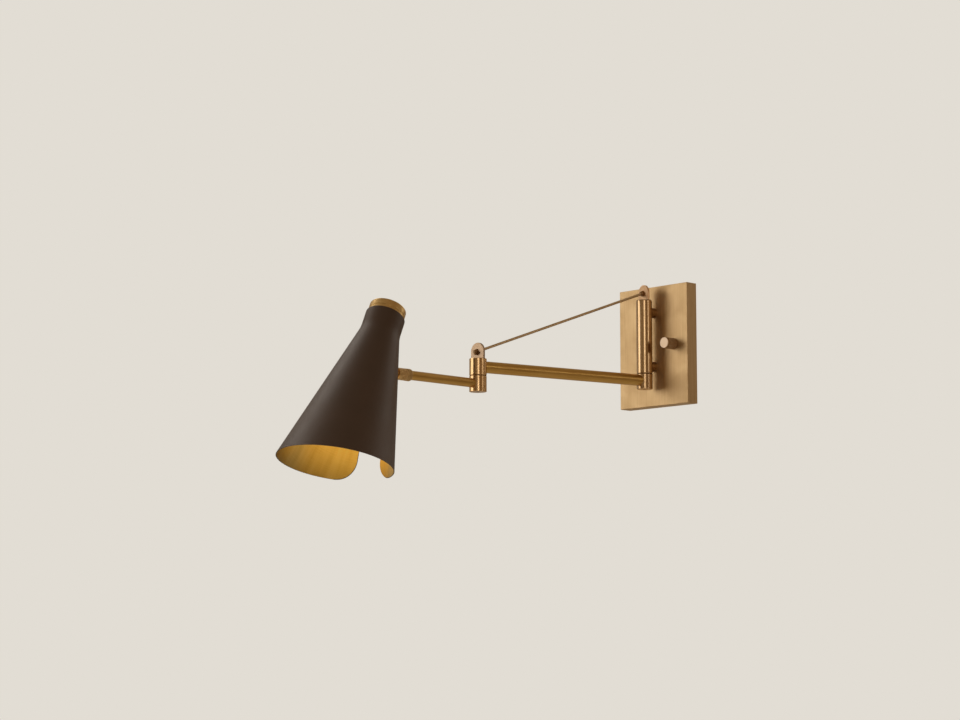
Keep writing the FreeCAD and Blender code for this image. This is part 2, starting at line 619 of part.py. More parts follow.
# notch: round top, straight sides, mouth flared on large arcs
h0, fR, fz = notch_half, notch_flare_R, notch_flare_z
fe = math.radians(notch_flare_end)
ye, ze = h0 + fR * (1 - math.cos(fe)), fz - fR * math.sin(fe)
ym, zm = h0 + fR * (1 - math.cos(fe / 2)), fz - fR * math.sin(fe / 2)


def np(y, z):
    return V(0, y, z)


ne = [
    Part.Arc(np(-h0, notch_top), np(0, notch_top + h0), np(h0, notch_top)).toShape(),
    Part.LineSegment(np(h0, notch_top), np(h0, fz)).toShape(),
    Part.Arc(np(h0, fz), np(ym, zm), np(ye, ze)).toShape(),
    Part.LineSegment(np(ye, ze), np(ye + 12, ze - 6)).toShape(),
    Part.LineSegment(np(ye + 12, ze - 6), np(ye + 12, ze - 50)).toShape(),
    Part.LineSegment(np(ye + 12, ze - 50), np(-ye - 12, ze - 50)).toShape(),
    Part.LineSegment(np(-ye - 12, ze - 50), np(-ye - 12, ze - 6)).toShape(),
    Part.LineSegment(np(-ye - 12, ze - 6), np(-ye, ze)).toShape(),
    Part.Arc(np(-ye, ze), np(-ym, zm), np(-h0, fz)).toShape(),
    Part.LineSegment(np(-h0, fz), np(-h0, notch_top)).toShape(),
]
nface = Part.Face(Part.Wire(ne))
notch = nface.extrude(V(150, 0, 0))
notch.Placement = FreeCAD.Placement(V(0, 0, 0), FreeCAD.Rotation(V(0, 0, 1), notch_az)).multiply(
    FreeCAD.Placement(V(8, 0, 0), FreeCAD.Rotation()))
wall = wall.cut(notch)
out("shade", head(wall))

# cap screwed down on the nipple
cz = neck_top
cap = revolve([
    (20.0, cz), (cap_r - 0.3, cz), (cap_r, cz + 0.3), (cap_r, cz + 3.0), (cap_r - 0.7, cz + 3.5),
    (cap_r - 0.7, cz + 4.1), (cap_r, cz + 4.6), (cap_r, cz + cap_h - 1.2), (cap_r - 0.5, cz + cap_h - 0.35),
    (cap_r - 1.6, cz + cap_h), (0, cz + cap_h), (0, cz + 9.0), (4.87, cz + 9.0), (4.87, cz), (9.0, cz),
    (9.0, cz + cap_h - 2.5), (20.0, cz + cap_h - 2.5)])
out("shade_cap", head(cap))

# bulb
bb = revolve([(0, 17.0), (5.2, 17.0), (5.2, 16.0), (5.95, 16.0), (5.95, 36.6), (4.4, 38.0), (2.4, 38.4), (2.2, 39.8), (0, 39.8)])
out("bulb_base", head(bb))
gt = 0.9
th0 = 19.0
pts_o = []
N = 40
zc = globe_z
# outer skin: neck, then the globe
neck_gr = 5.1
a0 = math.asin((neck_gr + 2.6) / globe_r)
go = [(neck_gr, 16.9), (neck_gr, 8.0), (neck_gr + 0.9, zc + globe_r * math.cos(a0) + 1.4)]
for k in range(N + 1):
    a = a0 + (math.pi - a0) * k / N
    go.append((globe_r * math.sin(a) if k < N else 0.0, zc + globe_r * math.cos(a)))
ri = globe_r - gt
gi = []
for k in range(N + 1):
    a = math.pi - (math.pi - a0) * k / N
    gi.append((ri * math.sin(a) if k > 0 else 0.0, zc + ri * math.cos(a)))
gi += [(neck_gr + 0.9 - gt, zc + globe_r * math.cos(a0) + 1.4), (neck_gr - gt, 8.0), (neck_gr - gt, 16.9)]
glass = revolve(go + gi)
out("bulb_glass", head(glass))

print("nodes", len(NODES))
print("REAR", REAR, "FRONT", FRONT, "HEAD", HEAD)
print("EX", EX, "EY", EY, "EZ", EZ)
P = HEAD + EX * PX + EZ * PZ
print("pin", P, "PX %.3f PZ %.3f arm_up %.2f" % (PX, PZ, arm_up))
print("rod", rod_d, rod_len)
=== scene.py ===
import bpy
import bmesh
import math
from mathutils import Vector, Matrix


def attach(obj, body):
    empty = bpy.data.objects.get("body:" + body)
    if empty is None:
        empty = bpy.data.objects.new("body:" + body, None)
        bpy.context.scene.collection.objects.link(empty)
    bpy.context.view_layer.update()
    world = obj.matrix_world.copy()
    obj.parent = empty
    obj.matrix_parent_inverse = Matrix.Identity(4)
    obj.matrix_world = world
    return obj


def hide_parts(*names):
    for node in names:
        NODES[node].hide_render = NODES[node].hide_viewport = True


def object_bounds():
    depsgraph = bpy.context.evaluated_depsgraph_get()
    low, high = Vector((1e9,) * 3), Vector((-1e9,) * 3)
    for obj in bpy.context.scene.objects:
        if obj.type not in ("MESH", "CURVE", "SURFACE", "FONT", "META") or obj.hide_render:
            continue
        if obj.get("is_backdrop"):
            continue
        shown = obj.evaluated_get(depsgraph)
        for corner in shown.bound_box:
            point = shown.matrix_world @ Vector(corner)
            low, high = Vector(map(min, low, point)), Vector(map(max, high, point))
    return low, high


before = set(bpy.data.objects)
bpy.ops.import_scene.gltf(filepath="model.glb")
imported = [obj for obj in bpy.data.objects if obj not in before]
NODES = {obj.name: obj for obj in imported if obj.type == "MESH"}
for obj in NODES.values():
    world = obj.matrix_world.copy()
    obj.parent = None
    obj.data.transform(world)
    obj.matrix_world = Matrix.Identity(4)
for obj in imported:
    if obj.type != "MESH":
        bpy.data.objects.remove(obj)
CAD_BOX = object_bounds()
MM = 0.001

# ---------------------------------------------------------------------------
# the lamp's own axes, in metres, as in the CAD part
# ---------------------------------------------------------------------------
REAR = Vector((0.0, -34.5, 0.0)) * MM
ARM_AZ = math.radians(-11.2)
FORE_AZ = math.radians(1.0)
U1 = Vector((math.sin(ARM_AZ), -math.cos(ARM_AZ), 0.0))
U2 = Vector((math.sin(FORE_AZ), -math.cos(FORE_AZ), 0.0))
FRONT = REAR + U1 * 250.0 * MM
FORE_Z = -65.5 * MM
HEAD = FRONT + U2 * 179.0 * MM
HEAD.z = FORE_Z
_ta = math.radians(1.0 + 180.0 + 14.1)
_tt = math.radians(28.4)
EZ = Vector((math.sin(_ta) * math.sin(_tt), -math.cos(_ta) * math.sin(_tt), math.cos(_tt)))
_b = -U2
EX = (_b - EZ * _b.dot(EZ)).normalized()
EY = EZ.cross(EX)
ZUP = Vector((0, 0, 1))
R0 = REAR + Vector((0, 0, 66.6 * MM))
F0 = FRONT + Vector((0, 0, -26.4 * MM))
ROD = (F0 - R0).normalized()


def axes_matrix(x, y, z, origin=(0, 0, 0)):
    m = Matrix((x, y, z)).transposed().to_4x4()
    m.translation = Vector(origin)
    return m


def any_frame(d):
    """x along d, y and z across it"""
    d = Vector(d).normalized()
    h = Vector((0, 0, 1)) if abs(d.z) < 0.9 else Vector((1, 0, 0))
    y = h.cross(d).normalized()
    return d, y, d.cross(y)


HEAD_M = axes_matrix(EX, EY, EZ, HEAD)

# ---------------------------------------------------------------------------
# materials
# ---------------------------------------------------------------------------


class Mat:
    def __init__(self, name):
        self.m = bpy.data.materials.new(name)
        self.m.use_nodes = True
        self.t = self.m.node_tree
        self.n = self.t.nodes
        self.l = self.t.links
        self.n.clear()
        self.out = self.n.new("ShaderNodeOutputMaterial")
        self.b = self.n.new("ShaderNodeBsdfPrincipled")
        self.l.new(self.b.outputs[0], self.out.inputs[0])
        self.tc = self.n.new("ShaderNodeTexCoord")

    def coords(self, m=None, scale=(1, 1, 1)):
        """object coordinates in the frame m, each divided by its scale, in metres"""
        mp = self.n.new("ShaderNodeMapping")
        mp.vector_type = "TEXTURE"
        if m is not None:
            mp.inputs["Location"].default_value = m.to_translation()
            mp.inputs["Rotation"].default_value = m.to_3x3().to_euler()
        mp.inputs["Scale"].default_value = scale
        self.l.new(self.tc.outputs["Object"], mp.inputs["Vector"])
        return mp.outputs[0]

    def noise(self, vec, scale=1.0, detail=2.0, rough=0.5, dist=0.0):
        t = self.n.new("ShaderNodeTexNoise")
        t.inputs["Scale"].default_value = scale
        t.inputs["Detail"].default_value = detail
        t.inputs["Roughness"].default_value = rough
        t.inputs["Distortion"].default_value = dist
        self.l.new(vec, t.inputs["Vector"])
        return t.outputs["Fac"]

    def ramp(self, fac, stops, mode="LINEAR"):
        r = self.n.new("ShaderNodeValToRGB")
        r.color_ramp.interpolation = mode
        el = r.color_ramp.elements
        while len(el) < len(stops):
            el.new(0.5)
        for e, (p, c) in zip(el, stops):
            e.position = p
            e.color = tuple(c) + (1,) if len(c) == 3 else c
        self.l.new(fac, r.inputs[0])
        return r.outputs[0]

    def mix(self, fac, a, b, mode="MIX"):
        x = self.n.new("ShaderNodeMix")
        x.data_type = "RGBA"
        x.blend_type = mode
        for s, v in ((0, fac), (6, a), (7, b)):
            if hasattr(v, "is_linked") or hasattr(v, "links"):
                self.l.new(v, x.inputs[s])
            else:
                x.inputs[s].default_value = v if s == 0 else (tuple(v) + (1,) if len(v) == 3 else v)
        return x.outputs[2]

    def math(self, op, a, b=0.5, c=None):
        x = self.n.new("ShaderNodeMath")
        x.operation = op
        for s, v in ((0, a), (1, b), (2, c)):
            if v is None:
                continue
            if hasattr(v, "links"):
                self.l.new(v, x.inputs[s])
            else:
                x.inputs[s].default_value = v
        return x.outputs[0]

    def remap(self, v, lo, hi, a=0.0, b=1.0):
        x = self.n.new("ShaderNodeMapRange")
        x.inputs["From Min"].default_value = a
        x.inputs["From Max"].default_value = b
        x.inputs["To Min"].default_value = lo
        x.inputs["To Max"].default_value = hi
        self.l.new(v, x.inputs["Value"])
        return x.outputs[0]

    def bump(self, h, strength, dist, chain=None):
        x = self.n.new("ShaderNodeBump")
        x.inputs["Strength"].default_value = strength
        x.inputs["Distance"].default_value = dist
        self.l.new(h, x.inputs["Height"])
        if chain is not None:
            self.l.new(chain, x.inputs["Normal"])
        return x.outputs[0]

    def put(self, socket, v):
        s = self.b.inputs[socket]
        if hasattr(v, "links"):
            self.l.new(v, s)
        else:
            s.default_value = tuple(v) + (1,) if isinstance(v, tuple) and len(v) == 3 and s.type == "RGBA" else v


def srgb(r, g, b):
    f = lambda c: (c / 255) / 12.92 if c / 255 <= 0.04045 else ((c / 255 + 0.055) / 1.055) ** 2.4
    return (f(r), f(g), f(b))


def scaled(c, k):
    return tuple(min(1.0, x * k) for x in c)


def brushed(name, m, light, dark, rough=(0.30, 0.42), grain=0.22, run=26.0, coarse=1.6,
            bump=0.12, cloud=0.35, tint=None, spot=0.2):
    """Brushed, lightly aged metal. The grain runs along the x axis of m."""
    k = Mat(name)
    fine = k.noise(k.coords(m, (run * MM, grain * MM, grain * MM)), 1.0, 3.0, 0.6)
    mid = k.noise(k.coords(m, (run * 2.2 * MM, coarse * MM, coarse * MM)), 1.0, 3.0, 0.55)
    clouds = k.noise(k.coords(m, (22 * MM, 22 * MM, 22 * MM)), 1.0, 4.0, 0.55, 0.4)
    specks = k.noise(k.coords(m, (1.1 * MM, 1.1 * MM, 1.1 * MM)), 1.0, 2.0, 0.5)
    lines = k.math("MULTIPLY_ADD", fine, 0.55, k.math("MULTIPLY", mid, 0.45))
    col = k.ramp(lines, [(0.33, dark), (0.52, tuple((a + b) / 2 * 1.04 for a, b in zip(light, dark))), (0.68, light)])
    aged = k.ramp(clouds, [(0.30, (1, 1, 1)), (0.62, tint or (0.86, 0.80, 0.70)), (0.80, (0.80, 0.72, 0.60))])
    col = k.mix(cloud, col, k.mix(1.0, col, aged, "MULTIPLY"))
    spots = k.ramp(specks, [(0.24, (0.72, 0.64, 0.52)), (0.34, (1, 1, 1))])
    col = k.mix(spot, col, k.mix(1.0, col, spots, "MULTIPLY"))
    k.put("Base Color", col)
    k.put("Metallic", 1.0)
    rr = k.math("ADD", k.remap(lines, rough[0], rough[1], 0.3, 0.7), k.remap(clouds, -0.03, 0.05, 0.3, 0.7))
    k.put("Roughness", rr)
    k.put("Normal", k.bump(lines, bump, 0.00012))
    return k.m


def plain_metal(name, col, rough=0.3, m=None, streak=6.0):
    k = Mat(name)
    a = k.noise(k.coords(m, (streak * MM, 0.5 * MM, 0.5 * MM)), 1.0, 3.0, 0.6)
    b = k.noise(k.coords(m, (5 * MM, 5 * MM, 5 * MM)), 1.0, 3.0, 0.5)
    k.put("Base Color", k.mix(k.remap(b, 0.0, 1.0, 0.3, 0.7), scaled(col, 0.82), col))
    k.put("Metallic", 1.0)
    k.put("Roughness", k.remap(a, rough - 0.06, rough + 0.12, 0.3, 0.7))
    k.put("Normal", k.bump(a, 0.08, 0.0001))
    return k.m


def plastic(name, col, rough=0.45, grain=0.5, strength=0.12, spec=0.5):
    k = Mat(name)
    a = k.noise(k.coords(None, (grain * MM,) * 3), 1.0, 3.0, 0.6)
    b = k.noise(k.coords(None, (9 * MM,) * 3), 1.0, 3.0, 0.5)
    k.put("Base Color", k.mix(k.remap(b, 0.0, 1.0, 0.3, 0.7), scaled(col, 0.86), col))
    k.put("Roughness", k.remap(a, rough - 0.05, rough + 0.08, 0.3, 0.7))
    k.put("Specular IOR Level", spec)
    k.put("Normal", k.bump(a, strength, 0.0001))
    return k.m


Y_FRAME = lambda d, o=(0, 0, 0): axes_matrix(*any_frame(d), o)
BR_L, BR_D = (0.600, 0.435, 0.245), (0.470, 0.320, 0.160)       # satin brass
AG_L, AG_D = (0.68, 0.440, 0.145), (0.46, 0.275, 0.074)       # darker, browner tube brass
CO_L, CO_D = (0.80, 0.555, 0.305), (0.60, 0.385, 0.180)       # coppery turned parts

MAT_PLATE = brushed("plate_brass", Y_FRAME(ZUP), BR_L, BR_D, (0.40, 0.50), 0.24, 30, 1.8, 0.10, 0.30)
MAT_BARREL = brushed("barrel_brass", Y_FRAME(ZUP, REAR), (0.68, 0.475, 0.275), (0.51, 0.335, 0.170), (0.17, 0.24), 0.16, 60, 1.0, 0.02, 0.30)
MAT_FKNUCK = brushed("knuckle_brass", Y_FRAME(ZUP, FRONT), CO_L, CO_D, (0.17, 0.24), 0.16, 60, 1.0, 0.02, 0.30)
MAT_ARM = brushed("arm_brass", Y_FRAME(U1), AG_L, AG_D, (0.26, 0.38), 0.20, 34, 1.4, 0.12, 0.40)
MAT_FORE = brushed("forearm_brass", Y_FRAME(U2), AG_L, AG_D, (0.28, 0.40), 0.20, 34, 1.4, 0.12, 0.40)
MAT_ROD = brushed("rod_brass", Y_FRAME(ROD), (0.70, 0.535, 0.340), (0.48, 0.350, 0.205), (0.26, 0.38), 0.18, 30, 1.0, 0.10, 0.35)
# painted shade: the spacers' colours are darkened to stand for the barrel's shadow falling on them
MAT_STAND_SHADED = brushed("spacer_brass_painted_shade", Y_FRAME((0, 1, 0)), (0.46, 0.30, 0.165), (0.30, 0.185, 0.095), (0.24, 0.34), 0.18, 12, 1.0, 0.10, 0.35)
MAT_TAB = brushed("tab_brass", Y_FRAME(ZUP), (0.88, 0.60, 0.375), (0.66, 0.42, 0.235), (0.28, 0.38), 0.20, 20, 1.2, 0.10, 0.25)
MAT_FTAB = brushed("front_tab_brass", Y_FRAME(ZUP), (0.46, 0.335, 0.230), (0.34, 0.240, 0.158), (0.38, 0.48), 0.20, 20, 1.2, 0.10, 0.25)
MAT_NUT = plain_metal("nut_bronze", (0.34, 0.205, 0.105), 0.30, Y_FRAME(ROD), 3.0)
MAT_CAP = brushed("cap_brass", axes_matrix(EY, EX, EZ, HEAD), (0.70, 0.490, 0.215), (0.52, 0.345, 0.135), (0.28, 0.40), 0.20, 40, 1.0, 0.10, 0.35)
MAT_STEEL = plain_metal("zinc_steel", (0.62, 0.62, 0.60), 0.34)
MAT_CUP = brushed("cup_brass", HEAD_M @ axes_matrix((0, 0, 1), (1, 0, 0), (0, 1, 0)), BR_L, BR_D, (0.28, 0.38), 0.2, 20, 1.2, 0.1, 0.3)
MAT_GREEN = plastic("green_lacquer", (0.03, 0.20, 0.06), 0.25, 0.8, 0.05)
MAT_BLACK = plastic("black_phenolic", (0.022, 0.022, 0.024), 0.42, 0.35, 0.18)
MAT_SEAM = plain_metal("seam_bronze", (0.20, 0.115, 0.050), 0.42)
MAT_BEAR = plastic("bearing_plastic", (0.66, 0.63, 0.55), 0.5, 0.6, 0.08)
MAT_BULBCAP = plain_metal("bulb_cap_metal", (0.72, 0.72, 0.70), 0.26, Y_FRAME(EZ), 4.0)


def paint():
    """dark bronze satin powder coat"""
    k = Mat("bronze_paint")
    peel = k.noise(k.coords(HEAD_M, (0.9 * MM,) * 3), 1.0, 3.0, 0.55)
    fleck = k.noise(k.coords(HEAD_M, (0.16 * MM,) * 3), 1.0, 2.0, 0.6)
    cloud = k.noise(k.coords(HEAD_M, (30 * MM,) * 3), 1.0, 4.0, 0.5, 0.3)
    base = k.ramp(cloud, [(0.30, (0.0400, 0.0200, 0.0120)), (0.70, (0.0490, 0.0255, 0.0160))])
    col = k.mix(0.35, base, k.mix(1.0, base, k.ramp(fleck, [(0.34, (0.55, 0.52, 0.50)), (0.50, (1, 1, 1)), (0.70, (1.0, 0.92, 0.84))]), "MULTIPLY"))
    k.put("Base Color", col)
    k.put("Metallic", 0.0)
    k.put("Specular IOR Level", 0.60)
    k.put("Specular Tint", (1.0, 0.90, 0.82))
    k.put("Roughness", k.math("ADD", k.remap(peel, 0.46, 0.53, 0.3, 0.7), k.remap(cloud, -0.02, 0.03, 0.3, 0.7)))
    n = k.bump(peel, 0.10, 0.00012)
    k.put("Normal", k.bump(fleck, 0.06, 0.00004, n))
    return k.m


def gold_inside():
    """spun brass inside of the shade: fine turned rings, soft long streaks"""
    k = Mat("spun_gold")
    v = k.coords(HEAD_M, (1, 1, 1))
    sp = k.n.new("ShaderNodeSeparateXYZ")
    k.l.new(v, sp.inputs[0])
    ang = k.math("ARCTAN2", sp.outputs[1], sp.outputs[0])
    cb = k.n.new("ShaderNodeCombineXYZ")
    k.l.new(k.math("MULTIPLY", k.math("COSINE", ang, 0), 1.2), cb.inputs[0])
    k.l.new(k.math("MULTIPLY", k.math("SINE", ang, 0), 1.2), cb.inputs[1])
    k.l.new(k.math("MULTIPLY", sp.outputs[2], 1 / (0.30 * MM)), cb.inputs[2])
    rings = k.noise(cb.outputs[0], 1.0, 3.0, 0.6)
    cb2 = k.n.new("ShaderNodeCombineXYZ")
    k.l.new(k.math("MULTIPLY", k.math("COSINE", ang, 0), 9.0), cb2.inputs[0])
    k.l.new(k.math("MULTIPLY", k.math("SINE", ang, 0), 9.0), cb2.inputs[1])
    k.l.new(k.math("MULTIPLY", sp.outputs[2], 1 / (60 * MM)), cb2.inputs[2])
    streak = k.noise(cb2.outputs[0], 1.0, 3.0, 0.5)
    mixv = k.math("MULTIPLY_ADD", rings, 0.5, k.math("MULTIPLY", streak, 0.5))
    col = k.ramp(mixv, [(0.34, (0.80, 0.600, 0.210)), (0.52, (0.92, 0.730, 0.310)), (0.68, (0.96, 0.790, 0.380))])
    # painted shade: the inside gets darker and browner towards the rim
    low = k.remap(sp.outputs[2], 0.0, 1.0, -70 * MM, -150 * MM)
    col = k.mix(low, col, k.mix(1.0, col, (0.40, 0.37, 0.33), "MULTIPLY"))
    k.put("Base Color", col)
    k.put("Metallic", 1.0)
    k.put("Roughness", k.remap(mixv, 0.30, 0.42, 0.35, 0.65))
    # painted glow: emission on the wall stands in for the bulb's warm light on it, fading out towards the rim
    painted_glow = k.remap(sp.outputs[2], 0.0, 0.19, -133 * MM, -88 * MM)
    k.put("Emission Color", (1.0, 0.58, 0.10))
    k.put("Emission Strength", k.math("MULTIPLY", painted_glow, k.remap(mixv, 0.80, 1.20, 0.35, 0.65)))
    k.put("Normal", k.bump(rings, 0.10, 0.0001))
    return k.m


def opal():
    k = Mat("opal_glass")
    a = k.noise(k.coords(HEAD_M, (14 * MM,) * 3), 1.0, 2.0, 0.5)
    k.put("Base Color", k.mix(k.remap(a, 0.0, 1.0, 0.3, 0.7), (0.84, 0.82, 0.77), (0.90, 0.89, 0.85)))
    k.put("Roughness", 0.22)
    k.put("Subsurface Weight", 0.25)
    k.put("Subsurface Radius", (0.006, 0.005, 0.004))
    k.put("Coat Weight", 0.3)
    k.put("Coat Roughness", 0.08)
    k.put("Emission Color", (1.0, 0.84, 0.58))
    k.put("Emission Strength", 0.8)
    return k.m


def turned(name, m, light, dark, rough=(0.2, 0.3)):
    """metal turned on a lathe about the x axis of m: fine concentric rings"""
    k = Mat(name)
    v = k.coords(m, (MM, MM, MM))
    sp = k.n.new("ShaderNodeSeparateXYZ")
    k.l.new(v, sp.inputs[0])
    rad = k.math("SQRT", k.math("ADD", k.math("MULTIPLY", sp.outputs[1], sp.outputs[1]),
                                k.math("MULTIPLY", sp.outputs[2], sp.outputs[2])), 0)
    cb = k.n.new("ShaderNodeCombineXYZ")
    k.l.new(k.math("MULTIPLY", rad, 9.0), cb.inputs[0])
    k.l.new(k.math("MULTIPLY", sp.outputs[0], 6.0), cb.inputs[1])
    rings = k.noise(cb.outputs[0], 1.0, 2.0, 0.6)
    cl = k.noise(k.coords(m, (6 * MM,) * 3), 1.0, 3.0, 0.5)
    col = k.mix(k.remap(rings, 0.0, 1.0, 0.3, 0.7), dark, light)
    col = k.mix(0.3, col, k.mix(1.0, col, k.ramp(cl, [(0.3, (1, 1, 1)), (0.7, (0.80, 0.72, 0.62))]), "MULTIPLY"))
    k.put("Base Color", col)
    k.put("Metallic", 1.0)
    k.put("Roughness", k.remap(rings, rough[0], rough[1], 0.3, 0.7))
    k.put("Normal", k.bump(rings, 0.10, 0.00008))
    return k.m


MAT_PAINT = paint()
MAT_GOLD = gold_inside()
MAT_OPAL = opal()
KNOB_C = Vector((33.8, 0, 0)) * MM
MAT_KNOB = turned("knob_brass", Y_FRAME((0, -1, 0), KNOB_C), (0.58, 0.41, 0.25), (0.34, 0.225, 0.125), (0.24, 0.34))
MAT_KNOBEND = turned("knob_end", Y_FRAME((0, -1, 0), KNOB_C), (0.50, 0.38, 0.27), (0.38, 0.285, 0.20), (0.28, 0.38))
MAT_RING = turned("ring_brass", Y_FRAME(U2, FRONT + Vector((0, 0, FORE_Z))), (0.70, 0.50, 0.245), (0.46, 0.315, 0.135), (0.28, 0.38))
MAT_COLLAR = turned("collar_brass", Y_FRAME(U2, FRONT + Vector((0, 0, FORE_Z))), (0.70, 0.49, 0.235), (0.52, 0.345, 0.155), (0.26, 0.36))

ASSIGN = {
    "backplate": MAT_PLATE, "mounting_strap": MAT_STEEL, "strap_ground_screw": MAT_GREEN,
    "backplate_screws": MAT_STEEL, "dimmer_body": MAT_BLACK, "dimmer_nut": MAT_STEEL,
    "standoff_upper": MAT_STAND_SHADED, "standoff_lower": MAT_STAND_SHADED, "standoff_nipple": MAT_STEEL,
    "standoff_nut": MAT_STEEL, "standoff_screw": MAT_STEEL, "hinge_barrel": MAT_BARREL,
    "upper_bush": MAT_SEAM, "lower_bush": MAT_SEAM, "knob": MAT_KNOB, "knob_screw": MAT_STEEL,
    "dimmer_shaft": MAT_STEEL, "pivot_shaft": MAT_STEEL, "arm_knuckle": MAT_BARREL,
    "rear_washer": MAT_SEAM, "rear_end_plug": MAT_BARREL, "rear_tab": MAT_TAB, "rear_tab_pin": MAT_STEEL,
    "main_arm_tube": MAT_ARM, "stay_rod": MAT_ROD, "stay_nut_rear": MAT_NUT, "stay_nut_front": MAT_NUT,
    "front_upper_barrel": MAT_FKNUCK, "front_bush": MAT_SEAM, "front_barrel_plug": MAT_FKNUCK,
    "front_tab": MAT_FTAB, "front_shaft": MAT_STEEL, "front_washer": MAT_SEAM,
    "front_lower_barrel": MAT_FKNUCK, "front_shaft_screw": MAT_STEEL, "front_end_plug": MAT_FKNUCK,
    "forearm_tube": MAT_FORE, "swivel_ring": MAT_RING, "swivel_bush": MAT_BEAR,
    "swivel_collar": MAT_COLLAR, "swivel_spindle": MAT_STEEL, "swivel_eye": MAT_FORE,
    "tilt_yoke": MAT_CUP, "tilt_pin": MAT_STEEL, "tilt_nut": MAT_KNOB, "socket_cup": MAT_CUP,
    "cup_nipple": MAT_STEEL, "cup_spacer": MAT_CUP, "cup_locknut": MAT_STEEL, "shade": MAT_PAINT,
    "shade_cap": MAT_CAP, "lampholder": MAT_BLACK, "screw_shell": MAT_CUP, "contact_spring": MAT_CUP,
    "bulb_glass": MAT_OPAL, "bulb_base": MAT_BULBCAP,
}
for name, ob in NODES.items():
    ob.data.materials.clear()
    ob.data.materials.append(ASSIGN[name])

# ---------------------------------------------------------------------------
# mesh helpers
# ---------------------------------------------------------------------------


def make_object(name, bm, m, mats, angle=30.0):
    me = bpy.data.meshes.new(name)
    bm.to_mesh(me)
    bm.free()
    me.transform(m)
    ob = bpy.data.objects.new(name, me)
    bpy.context.scene.collection.objects.link(ob)
    for x in mats:
        me.materials.append(x)
    for p in me.polygons:
        p.use_smooth = True
    me.set_sharp_from_angle(angle=math.radians(angle))
    return ob


def rounded(pts, radii, steps=5):
    """closed outline with its corners rounded; a radius of 0 keeps a corner"""
    outl = []
    n = len(pts)
    for i, (p, r) in enumerate(zip(pts, radii)):
        p = Vector(p)
        if r <= 0:
            outl.append((p.x, p.y))
            continue
        a = (Vector(pts[i - 1]) - p).normalized()
        b = (Vector(pts[(i + 1) % n]) - p).normalized()
        half = math.acos(max(-1, min(1, a.dot(b)))) / 2
        if half > math.radians(89.5):
            outl.append((p.x, p.y))
            continue
        t = r / math.tan(half)
        c = p + (a + b).normalized() * (r / math.sin(half))
        s0 = p + a * t - c
        s1 = p + b * t - c
        a0 = math.atan2(s0.y, s0.x)
        a1 = math.atan2(s1.y, s1.x)
        d = (a1 - a0 + math.pi) % (2 * math.pi) - math.pi
        for k in range(steps + 1):
            q = a0 + d * k / steps
            outl.append((c.x + r * math.cos(q), c.y + r * math.sin(q)))
    return outl


def lathe(pts, seg=96, radial=None):
    """closed (r, z) outline in mm turned about z; radial(r, z, angle) may move a point's radius"""
    bm = bmesh.new()
    rings = []
    for r, z in pts:
        if r < 1e-6:
            rings.append([bm.verts.new((0, 0, z * MM))])
            continue
        row = []
        for k in range(seg):
            a = 2 * math.pi * k / seg
            rr = radial(r, z, a) if radial else r
            row.append(bm.verts.new((rr * MM * math.cos(a), rr * MM * math.sin(a), z * MM)))
        rings.append(row)
    n = len(rings)
    for i in range(n):
        A, B = rings[i], rings[(i + 1) % n]
        if len(A) == 1 and len(B) == 1:
            continue
        for k in range(seg):
            k2 = (k + 1) % seg
            if len(A) == 1:
                f = [A[0], B[k], B[k2]]
            elif len(B) == 1:
                f = [A[k], B[0], A[k2]]
            else:
                f = [A[k], B[k], B[k2], A[k2]]
            bm.faces.new(f)
    bmesh.ops.recalc_face_normals(bm, faces=bm.faces)
    return bm


def along_frame(d, origin):
    """matrix that turns the lathe's z axis to d"""
    x, y, z = any_frame(d)
    return axes_matrix(y, z, x, origin)


def boolean_cut(ob, cutters):
    for c in cutters:
        md = ob.modifiers.new("cut", "BOOLEAN")
        md.operation = "DIFFERENCE"
        md.solver = "EXACT"
        md.object = c
    bpy.context.view_layer.update()
    dg = bpy.context.evaluated_depsgraph_get()
    me = bpy.data.meshes.new_from_object(ob.evaluated_get(dg))
    ob.modifiers.clear()
    old = ob.data
    ob.data = me
    bpy.data.meshes.remove(old)
    for c in cutters:
        cm = c.data
        bpy.data.objects.remove(c)
        bpy.data.meshes.remove(cm)
    return ob


def prism(outline, depth, m):
    """outline of (y, z) in mm pushed along +x by depth"""
    bm = bmesh.new()
    a = [bm.verts.new((0, y * MM, z * MM)) for y, z in outline]
    b = [bm.verts.new((depth * MM, y * MM, z * MM)) for y, z in outline]
    bm.faces.new(a)
    bm.faces.new(list(reversed(b)))
    n = len(a)
    for i in range(n):
        j = (i + 1) % n
        bm.faces.new([a[j], a[i], b[i], b[j]])
    bmesh.ops.recalc_face_normals(bm, faces=bm.faces)
    me = bpy.data.meshes.new("cutter")
    bm.to_mesh(me)
    bm.free()
    me.transform(m)
    ob = bpy.data.objects.new("cutter", me)
    bpy.context.scene.collection.objects.link(ob)
    return ob


# ---------------------------------------------------------------------------
# shade: spun cone with a straight neck, oblique edge and notch
# ---------------------------------------------------------------------------
SR0, SH, SN, ST = 35.7, math.radians(13.31), 23.5, 1.0
NECK_TOP, BEND_R, FL = 75.5, 50.0, 1.0


def wall_line(off, zlo, steps):
    """(r, z) from the neck down to zlo, moved inwards by off"""
    ca, sa, ta = math.cos(SH), math.sin(SH), math.tan(SH)
    rn = SN - off
    zb = (SR0 - off / ca - rn) / ta
    rb = BEND_R + off
    t = rb * math.tan(SH / 2)
    cx, cz = rn + rb, zb + t
    pts = []
    for k in range(steps + 1):
        a = SH * k / steps
        pts.append((cx - rb * math.cos(a), cz - rb * math.sin(a)))
    z0 = pts[-1][1]
    for k in range(1, 41):
        z = z0 + (zlo - z0) * k / 40
        pts.append((SR0 - z * ta - off / ca, z))
    return pts


